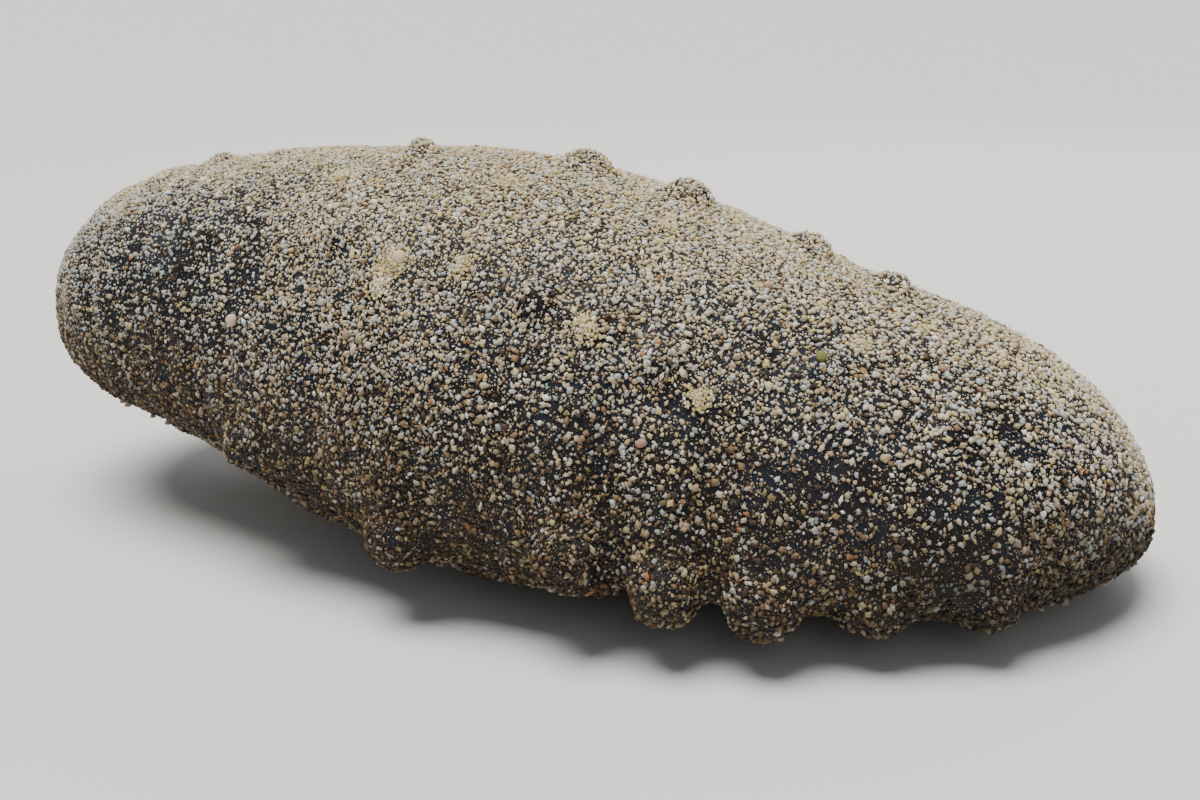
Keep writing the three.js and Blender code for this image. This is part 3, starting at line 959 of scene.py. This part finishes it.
def sand_layer(surface, name, shapes, faces, places, lift, material, rng):
    """One layer of grains, in joined meshes that each keep within the size of a piece."""
    points, out, size = places
    colours = grain_colours(points, surface.body.angle(points), rng)
    frames = turned_frames(out, rng, 0.28)
    sizes = size[:, None] * rng.uniform(0.85, 1.15, (len(points), 3))
    points = points + out * (lift * size)[:, None]
    order = np.argsort(points[:, 0])
    count = math.ceil(len(points) * len(faces) / MOST_FACES)
    for k, part in enumerate(np.array_split(order, count)):
        chosen = (points[part], frames[part], sizes[part], colours[part])
        piece = lay_grains(f"{name}_{k + 1}", shapes, faces, *chosen, surface.body, rng)
        finished(piece, piece.name, material)
    return len(points)


def sand_coat(surface):
    """Coarse grains, with fine ones between them."""
    sand = settings("sand")
    rng = np.random.default_rng(sand.seed)
    material = sand_material()
    coarse = coat_places(surface, sand.grain, sand.spacing, COARSE_SHARE, rng)
    shapes = grain_shapes(12, 0.15, 100)
    laid = sand_layer(surface, "coarse_sand", *shapes, coarse, 0.14, material, rng)
    fine = coat_places(surface, sand.fine, sand.fine_spacing, FINE_SHARE, rng)
    shapes = grain_shapes(16, 0.13, 150, fine=True)
    return laid + sand_layer(surface, "fine_sand", *shapes, fine, 0.1, material, rng)


def clots(surface):
    """Heaps of fine sand that cling in a few places."""
    sand = settings("sand")
    rng = np.random.default_rng(sand.seed + 1)
    shapes, faces = grain_shapes(6, 0.14, 200)
    roots, ways, tints, sizes = [], [], [], []
    kinds = np.array([tuple(sand.yellow), tuple(sand.cream), tuple(sand.white), tuple(sand.beige)])
    for x, turn, radius in CLOTS:
        centre, out = surface.at(x, turn)
        count = int(radius**2 * 8)
        near = unit(rng.normal(size=(count, 3))) * (radius * MM * rng.random((count, 1)) ** 0.7)
        flat = near - np.outer(near @ out, out) * 0.97
        fall = 1 - np.linalg.norm(flat, axis=1) / (radius * MM)
        lift = fall * rng.random(count) * radius * 0.26 * MM
        roots.append(centre + flat + np.outer(lift + 0.3 * MM, out))
        ways.append(np.tile(out, (count, 1)))
        kind = rng.choice(len(kinds), count, p=CLOT_MIX)
        tints.append(kinds[kind] * rng.uniform(0.85, 1.1, (count, 1)))
        sizes.append(rng.uniform(0.7, 1.5, count) * MM)
    roots, ways, tints, sizes = map(np.concatenate, (roots, ways, tints, sizes))
    roots = pulled_to(surface, roots, ways)
    frames = turned_frames(ways, rng, 0.5)
    sizes = np.repeat(sizes[:, None], 3, 1)
    piece = lay_grains("sand_clots", shapes, faces, roots, frames, sizes, tints, surface.body, rng)
    return finished(piece, "sand_clots", sand_material())


def pulled_to(surface, roots, ways):
    """Keeps a heap's grains on the curved skin: each keeps its height over the nearest skin point."""
    kept = []
    for root, way in zip(roots, ways):
        near = np.argmin(((surface.points - root) ** 2).sum(1))
        out = surface.out[near]
        height = np.clip((root - surface.points[near]) @ out, 0.2 * MM, 1.6 * MM)
        aside = root - surface.points[near]
        aside -= out * (aside @ out)
        aside *= min(1, 0.8 * MM / max(np.linalg.norm(aside), 1e-9))
        kept.append(surface.points[near] + aside + out * height)
    return np.array(kept)


def pebble(centre, out, length, seed):
    """A rounded pebble, set into the skin."""
    rng = np.random.default_rng(seed)
    only(None)
    bpy.ops.mesh.primitive_ico_sphere_add(subdivisions=3, radius=0.5)
    stone = bpy.context.object
    edit_all()
    bpy.ops.transform.vertex_random(offset=0.05, uniform=0.0, normal=0.0, seed=seed)
    bpy.ops.mesh.vertices_smooth(factor=0.6, repeat=3)
    sizes = (length, length * rng.uniform(0.72, 0.9), length * rng.uniform(0.6, 0.75))
    bpy.ops.transform.resize(value=sizes, center_override=(0, 0, 0))
    bpy.ops.object.mode_set(mode="OBJECT")
    axes = turned_frames(np.array([out]), rng, 0.15)[0]
    place = Matrix(axes.tolist()).to_4x4()
    place.translation = Vector(centre) + Vector(out) * length * 0.2
    stone.data.transform(place)
    return stone


def splinter(centre, out, length, turn):
    """A thin chip of shell that lies on the sand."""
    only(None)
    bpy.ops.mesh.primitive_cube_add(size=1)
    chip = bpy.context.object
    edit_all()
    bpy.ops.transform.resize(value=(length, length * 0.22, length * 0.09))
    bpy.ops.mesh.subdivide(number_cuts=3)
    bpy.ops.transform.vertex_random(offset=length * 0.03, uniform=0.0, normal=0.0, seed=int(length * 1e5))
    bpy.ops.object.mode_set(mode="OBJECT")
    axis = Vector(out)
    side = axis.cross(Vector((0, 0, 1))).normalized()
    side = Matrix.Rotation(math.radians(turn), 3, axis) @ side
    place = Matrix((side, axis.cross(side), axis)).transposed().to_4x4()
    place.translation = Vector(centre) + axis * 1.0 * MM
    chip.data.transform(place)
    return chip


def rubble(surface):
    sand = settings("sand")
    tints = {
        "shell": np.array((0.60, 0.46, 0.34)),
        "rust": np.array(sand.rust) * 0.55 + 0.1,
        "weed": np.array(sand.weed),
    }
    pieces = []
    for k, (x, turn, length, tint) in enumerate(PEBBLES):
        stone = pebble(*surface.at(x, turn), length * MM, 40 + k)
        write_colours(stone.data, "grain", np.tile(tints[tint], (len(stone.data.vertices), 1)))
        pieces.append(stone)
    for x, turn, length, spin in SPLINTERS:
        chip = splinter(*surface.at(x, turn), length * MM, spin)
        write_colours(chip.data, "grain", np.tile((0.44, 0.36, 0.22), (len(chip.data.vertices), 1)))
        pieces.append(chip)
    for piece in pieces:
        for layer in list(piece.data.uv_layers):
            piece.data.uv_layers.remove(layer)
    joined = join(pieces, "rubble")
    spots = surface.body.place(points_of(joined.data))
    write_map(joined.data, np.clip(spots, 0, 1))
    return finished(joined, "rubble", sand_material())


# The feet, the mouth and the anus


def tube_foot():
    """One foot, a unit long and hanging down: its points and triangles."""
    only(None)
    bpy.ops.mesh.primitive_circle_add(vertices=8, radius=0.72, fill_type="NOTHING")
    foot = bpy.context.object
    edit_all()
    for wider, lower in ((0.86, 0.35), (1.0, 0.3), (1.55, 0.2), (1.06, 0.09), (0.9, 0.06)):
        bpy.ops.mesh.extrude_region_move(TRANSFORM_OT_translate={"value": (0, 0, -lower)})
        bpy.ops.transform.resize(value=(wider, wider, 1))
    bpy.ops.mesh.extrude_region_move(TRANSFORM_OT_translate={"value": (0, 0, 0)})
    bpy.ops.transform.resize(value=(0.45, 0.45, 1))
    bpy.ops.mesh.merge(type="CENTER")
    bpy.ops.mesh.select_all(action="SELECT")
    bpy.ops.mesh.normals_make_consistent(inside=False)
    bpy.ops.object.mode_set(mode="OBJECT")
    return taken_apart(foot)


def tube_feet(surface):
    """Three bands of tube feet under the sole, each ending on the floor or hanging just clear."""
    parts = settings("parts")
    rng = np.random.default_rng(5)
    points, out, _ = surface.spaced(parts.foot_spacing, rng)
    low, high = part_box("sole_rear")[0].x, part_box("sole_front")[1].x
    centre = surface.body.centre(points[:, 0])
    reach = np.interp(points[:, 0], *half_widths(surface))
    share = (points[:, 1] - centre[:, 0]) / reach
    banded = np.min([np.abs(share - b) for b in FOOT_BANDS], axis=0) < BAND_SHARE
    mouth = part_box("mouth_crown")
    middle = (mouth[0] + mouth[1]) / 2
    clear = np.hypot(points[:, 0] - middle.x, points[:, 1] - middle.y)
    keep = (out[:, 2] < -0.85) & banded & (points[:, 0] > low) & (points[:, 0] < high)
    keep &= clear > 1.15 * (mouth[1].x - mouth[0].x) / 2
    points = points[keep]
    shape, faces = tube_foot()
    reach_down = np.minimum(points[:, 2], parts.foot_length * rng.uniform(0.75, 1.1, len(points)))
    reach_down = np.where(points[:, 2] < 1.4 * parts.foot_length, points[:, 2], reach_down)
    size = parts.foot_radius * rng.uniform(0.8, 1.15, len(points))
    each = len(shape)
    stretch = np.stack([size, size, reach_down + 0.5 * MM], axis=1)
    lean = rng.normal(0, 0.12, (len(points), 2)) * reach_down[:, None]
    made = shape[None] * stretch[:, None, :]
    made[:, :, :2] += lean[:, None, :] * -shape[None, :, 2:3]
    made += (points + [0, 0, 0.5 * MM])[:, None, :]
    all_faces = (faces[None] + (np.arange(len(points)) * each)[:, None, None]).reshape(-1, 3)
    piece = mesh_piece("tube_feet", made.reshape(-1, 3), all_faces)
    shade_smooth(piece.data)
    write_shares(piece.data, "sucker", np.tile(np.clip((-shape[:, 2] - 0.7) / 0.2, 0, 1), len(points)))
    patch = surface.body.place(points)[:, None, :] + FOOT_PATCH * shape[None, :, :2]
    write_map(piece.data, np.clip(patch, 0, 1).reshape(-1, 2))
    return finished(piece, "tube_feet", feet_material())


def half_widths(surface):
    """The body's half width along X."""
    places = surface.body.x
    across = np.abs(surface.points[:, 1] - surface.body.centre(surface.points[:, 0])[:, 0])
    which = np.abs(surface.points[:, None, 0][::7] - places[None, :]).argmin(1)
    return places, np.array([across[::7][which == k].max() for k in range(len(places))])


def ball(centre, radius, subdivisions=1):
    only(None)
    bpy.ops.mesh.primitive_ico_sphere_add(subdivisions=subdivisions, radius=radius, location=centre)
    made = bpy.context.object
    bpy.ops.object.transform_apply(location=True, rotation=True, scale=True)
    return made


def ringed(profile, sides, centre, axis):
    """A solid of revolution: a circle extruded through the radii and heights of a profile."""
    only(None)
    bpy.ops.mesh.primitive_circle_add(vertices=sides, radius=profile[0][0], fill_type="NOTHING")
    made = bpy.context.object
    edit_all()
    bpy.ops.transform.translate(value=(0, 0, profile[0][1]))
    for (r0, h0), (r1, h1) in zip(profile, profile[1:]):
        bpy.ops.mesh.extrude_region_move(TRANSFORM_OT_translate={"value": (0, 0, h1 - h0)})
        bpy.ops.transform.resize(value=(r1 / r0, r1 / r0, 1), center_override=(0, 0, h1))
    bpy.ops.mesh.select_all(action="SELECT")
    close_holes()
    bpy.ops.mesh.select_all(action="SELECT")
    bpy.ops.mesh.normals_make_consistent(inside=False)
    bpy.ops.object.mode_set(mode="OBJECT")
    place = Vector((0, 0, 1)).rotation_difference(Vector(axis)).to_matrix().to_4x4()
    place.translation = Vector(centre)
    made.data.transform(place)
    return made


def marked(piece, name, value):
    write_shares(piece.data, name, np.full(len(piece.data.vertices), float(value)))
    return piece


def tentacle(foot, axis, length, rng):
    """A tentacle: a short stem, and a shield of buds."""
    axis = axis.normalized()
    profile = [
        (0.9 * MM, -1 * MM),
        (1.15 * MM, 0.3 * length),
        (0.95 * MM, 0.62 * length),
        (1.5 * MM, 0.8 * length),
    ]
    pieces = [marked(ringed(profile, 8, foot, axis), "tip", 0)]
    side = axis.orthogonal().normalized()
    head = foot + axis * length * 0.86
    for k in range(9):
        turn = Matrix.Rotation(k * math.tau * 0.382 + rng.random(), 3, axis)
        out = turn @ side
        spread = 1.75 * MM * math.sqrt(k / 9)
        centre = head + out * spread + axis * (0.5 * MM - spread * 0.25)
        pieces.append(marked(ball(centre, rng.uniform(0.5, 0.75) * MM), "tip", 1))
    return pieces


def mouth():
    """The mouth disc under the head end, with its ring of tentacles drawn in."""
    low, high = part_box("mouth_crown")
    rng = np.random.default_rng(9)
    centre = Vector(((low.x + high.x) / 2, (low.y + high.y) / 2, 0))
    radius = (high.x - low.x) / 2
    top = high.z
    disc = [
        (radius - 0.3 * MM, top - 0.5 * MM),
        (radius, top - 2.0 * MM),
        (radius - 1.2 * MM, top - 3.6 * MM),
        (radius - 3.0 * MM, top - 3.2 * MM),
        (4.2 * MM, top - 3.0 * MM),
        (2.8 * MM, top - 3.9 * MM),
        (1.9 * MM, top - 3.6 * MM),
        (1.2 * MM, top - 2.2 * MM),
    ]
    pieces = [marked(ringed(disc, 40, centre, (0, 0, 1)), "tip", 0.2)]
    for k in range(TENTACLES):
        turn = math.tau * k / TENTACLES
        out = Vector((math.cos(turn), math.sin(turn), 0))
        ring = radius - (3.4 if k % 2 else 6.4) * MM
        axis = Vector((0, 0, -1)) + out * (0.04 if k % 2 else -0.1)
        length = 5.6 * MM * rng.uniform(0.86, 1.0)
        pieces += tentacle(centre + out * ring + Vector((0, 0, top - 2.8 * MM)), axis, length, rng)
    joined = join(pieces, "mouth_crown_detail")
    shade_smooth(joined.data)
    return finished(joined, "mouth_crown_detail", mouth_material(), ["mouth_crown"])


def pleat(mesh, centre, depth):
    """Gathers a ring round X into pleats."""
    points = points_of(mesh)
    turn = np.arctan2(points[:, 2] - centre[2], points[:, 1] - centre[1])
    near_rim = np.exp(-(((points[:, 0] - centre[0] - 1.2 * MM) / (2 * MM)) ** 2))
    points[:, 0] += depth * near_rim * np.cos(PLEATS * turn)
    move_points(mesh, points)


def anus():
    """The ring that closes the rear opening, with five papillae."""
    low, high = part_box("anal_ring")
    middle = (low + high) / 2
    radius = (high.y - low.y) / 2
    rim = Vector((low.x + 1.3 * MM, middle.y, middle.z))
    depth = high.x - rim.x
    profile = [
        (radius * 0.9, -depth),
        (radius, -depth * 0.5),
        (radius, -2.0 * MM),
        (radius - 0.9 * MM, -0.9 * MM),
        (radius - 2.0 * MM, -1.0 * MM),
        (3.4 * MM, -2.0 * MM),
        (2.4 * MM, -3.6 * MM),
        (1.4 * MM, -5.4 * MM),
    ]
    tooth = [
        (1.5 * MM, -0.8 * MM),
        (1.3 * MM, 1.0 * MM),
        (0.95 * MM, 2.3 * MM),
        (0.5 * MM, 3.2 * MM),
        (0.12 * MM, 3.7 * MM),
    ]
    axis = Vector((-1, 0, 0))
    ring = ringed(profile, 60, rim, axis)
    pleat(ring.data, np.array(rim), 0.5 * MM)
    pieces = [marked(ring, "tip", 0)]
    for k in range(TEETH):
        turn = math.tau * k / TEETH
        out = Vector((0, math.cos(turn), math.sin(turn)))
        foot = rim + out * 4.4 * MM - axis * 2.6 * MM
        pieces.append(marked(ringed(tooth, 12, foot, (axis - out * 0.5).normalized()), "tip", 1))
        for side in (-1, 1):
            small = Vector((0, math.cos(turn + side * 0.42), math.sin(turn + side * 0.42)))
            pieces.append(marked(ball(rim + small * 5.3 * MM - axis * 1.7 * MM, 0.6 * MM, 2), "tip", 0.3))
    joined = join(pieces, "anal_ring_detail")
    shade_smooth(joined.data)
    return finished(joined, "anal_ring_detail", papilla_material(), ["anal_ring"])


# The stage


def area_light(name, place, target, size, power, colour):
    data = bpy.data.lights.new(name, "AREA")
    data.shape = "DISK"
    data.size = size
    data.energy = power
    data.color = colour
    lamp = bpy.data.objects.new(name, data)
    bpy.context.scene.collection.objects.link(lamp)
    lamp.location = place
    lamp.rotation_euler = (Vector(target) - Vector(place)).to_track_quat("-Z", "Y").to_euler()


def sun_light(name, place, spread, strength, colour):
    """Even light from one side, softened over an angle in degrees, which lights the whole floor alike."""
    data = bpy.data.lights.new(name, "SUN")
    data.angle = math.radians(spread)
    data.energy = strength
    data.color = colour
    lamp = bpy.data.objects.new(name, data)
    bpy.context.scene.collection.objects.link(lamp)
    lamp.rotation_euler = (-Vector(place)).to_track_quat("-Z", "Y").to_euler()


def camera_for(stage):
    a, e = stage.azimuth, stage.elevation
    back = Vector((math.sin(a) * math.cos(e), -math.cos(a) * math.cos(e), math.sin(e)))
    data = bpy.data.cameras.new("Camera")
    data.lens = stage.lens
    data.sensor_width = 36
    data.clip_start = 0.01
    data.clip_end = 100
    camera = bpy.data.objects.new("Camera", data)
    bpy.context.scene.collection.objects.link(camera)
    camera.location = Vector(stage.target) + back * stage.distance
    camera.rotation_euler = (-back).to_track_quat("-Z", "Y").to_euler()
    bpy.context.scene.camera = camera


def world_light(strength, colour):
    world = bpy.data.worlds.new("World")
    world.use_nodes = True
    background = world.node_tree.nodes["Background"]
    background.inputs["Color"].default_value = (*colour, 1)
    background.inputs["Strength"].default_value = strength
    bpy.context.scene.world = world


# Operators

made = {}


class TEATFISH_OT_skin(bpy.types.Operator):
    """Make one skin from the solids of the body, with its folds, creases and markings"""

    bl_idname = "teatfish.skin"
    bl_label = "Skin"

    def execute(self, context):
        skin = body_skin()
        body = BodyMap(points_of(skin.data))
        mark_skin(skin.data, body)
        made["surface"] = Surface(skin.data, body)
        finished(skin, "skin", skin_material(), FLESH)
        return {"FINISHED"}


class TEATFISH_OT_sand(bpy.types.Operator):
    """Lay the grains of sand, the clots and the rubble on the skin"""

    bl_idname = "teatfish.sand"
    bl_label = "Sand"

    def execute(self, context):
        surface = made["surface"]
        laid = sand_coat(surface)
        if laid < LEAST_GRAINS:
            raise RuntimeError(f"only {laid} grains found a place on the skin")
        clots(surface)
        rubble(surface)
        return {"FINISHED"}


class TEATFISH_OT_feet(bpy.types.Operator):
    """Set the tube feet under the sole"""

    bl_idname = "teatfish.feet"
    bl_label = "Tube feet"

    def execute(self, context):
        tube_feet(made["surface"])
        return {"FINISHED"}


class TEATFISH_OT_openings(bpy.types.Operator):
    """Make the mouth with its tentacles, and the ring of the anus"""

    bl_idname = "teatfish.openings"
    bl_label = "Mouth and anus"

    def execute(self, context):
        mouth()
        anus()
        return {"FINISHED"}


class TEATFISH_OT_stage(bpy.types.Operator):
    """Set up the floor, the lights and the camera"""

    bl_idname = "teatfish.stage"
    bl_label = "Stage"

    def execute(self, context):
        stage = settings("stage")
        only(None)
        bpy.ops.mesh.primitive_plane_add(size=FLOOR_WIDTH, location=(0, 0, CAD_BOX[0][2]))
        floor = bpy.context.object
        floor.name = "floor"
        floor.data.materials.append(floor_material())
        sun_light("Key", (-0.2, -0.12, 1.15), 40, 5.6, (1.0, 0.985, 0.955))
        area_light("Fill", (0.5, -1.2, 0.6), (0, 0, 0.05), 0.9, 2.2, (0.95, 0.97, 1.0))
        area_light("Back", (0.3, 0.9, 0.8), (0, 0, 0.06), 0.7, 4, (0.95, 0.98, 1.0))
        world_light(0.28, (0.93, 0.96, 1.0))
        camera_for(stage)
        return {"FINISHED"}


class TEATFISH_PT_panel(bpy.types.Panel):
    """Shows a button for each step, and the settings"""

    bl_idname = "TEATFISH_PT_panel"
    bl_label = "Teatfish"
    bl_space_type = "VIEW_3D"
    bl_region_type = "UI"
    bl_category = "Teatfish"

    def draw(self, context):
        for operator in OPERATORS:
            self.layout.operator(operator.bl_idname)
        for name in GROUPS:
            own = getattr(context.scene, f"teatfish_{name}")
            box = self.layout.box()
            for key in own.bl_rna.properties.keys():
                if key not in {"rna_type", "name"}:
                    box.prop(own, key)


OPERATORS = (TEATFISH_OT_skin, TEATFISH_OT_sand, TEATFISH_OT_feet, TEATFISH_OT_openings, TEATFISH_OT_stage)
GROUPS = {"skin": TeatfishSkin, "sand": TeatfishSand, "parts": TeatfishParts, "stage": TeatfishStage}


def register():
    for cls in (*GROUPS.values(), *OPERATORS, TEATFISH_PT_panel):
        bpy.utils.register_class(cls)
    for name, group in GROUPS.items():
        setattr(bpy.types.Scene, f"teatfish_{name}", bpy.props.PointerProperty(type=group))


def unregister():
    for name in GROUPS:
        delattr(bpy.types.Scene, f"teatfish_{name}")
    for cls in (TEATFISH_PT_panel, *reversed(OPERATORS), *reversed(GROUPS.values())):
        bpy.utils.unregister_class(cls)


def main():
    register()
    bpy.ops.teatfish.skin()
    bpy.ops.teatfish.sand()
    bpy.ops.teatfish.feet()
    bpy.ops.teatfish.openings()
    bpy.ops.teatfish.stage()
    only(None)


if __name__ == "__main__":
    main()
